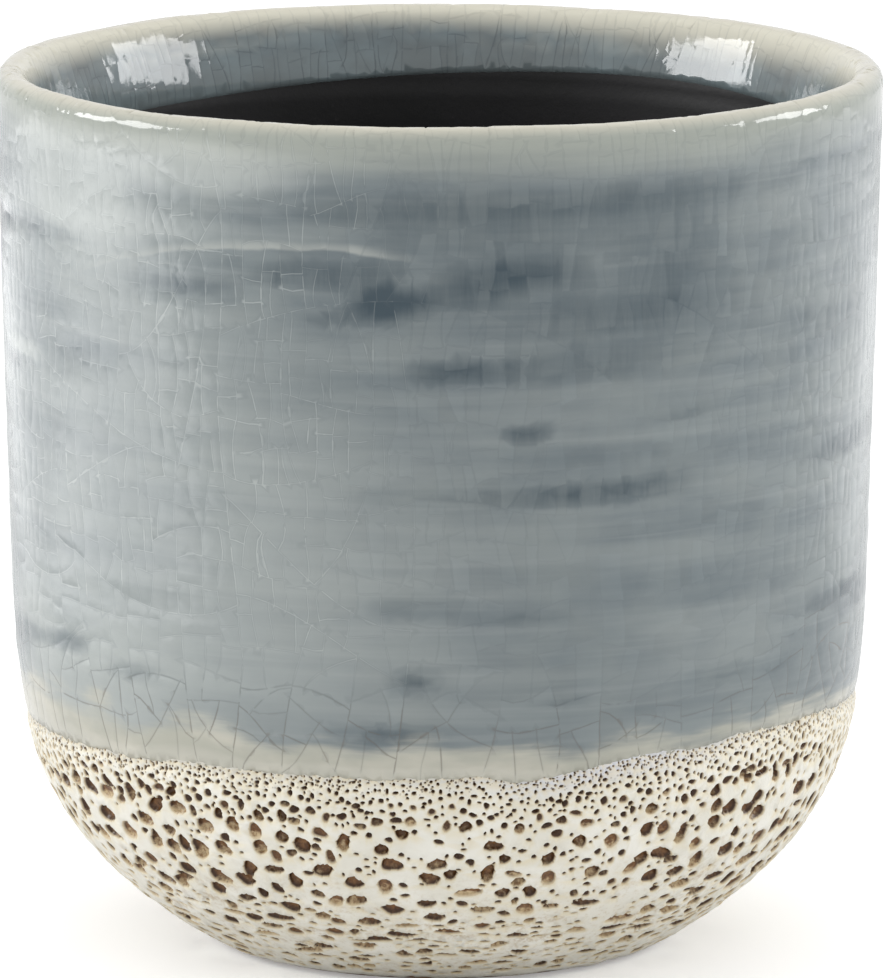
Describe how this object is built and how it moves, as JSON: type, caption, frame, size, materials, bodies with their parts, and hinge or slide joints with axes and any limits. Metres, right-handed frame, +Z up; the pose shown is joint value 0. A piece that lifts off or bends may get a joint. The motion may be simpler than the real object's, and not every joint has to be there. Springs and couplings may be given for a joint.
{
  "type": "flower pot",
  "caption": "Round glazed stoneware flower pot with a curved belly, a drafted wall and a round rim; blue-grey crackle glaze over a white crater glaze, dark coat inside.",
  "frame": {"origin": "centre of the foot, on the surface that the pot stands on", "axes": "+Z up along the pot's turning axis, out of its mouth; -Y towards the side that the picture shows, +X to its right"},
  "size_m": [0.14, 0.14, 0.14],
  "materials": {
    "stoneware": "unglazed brown stoneware, matt",
    "crackle_glaze": "glossy blue-grey crackle glaze with darker throwing streaks and a cream rim",
    "crater_glaze": "satin white crater glaze with brown pits",
    "inner_coat": "nearly black matt waterproof coat"
  },
  "bodies": {
    "root": {"clay_body": "stoneware", "crackle_glaze": "crackle_glaze", "crater_glaze": "crater_glaze", "inner_coat": "inner_coat"}
  },
  "joints": []
}
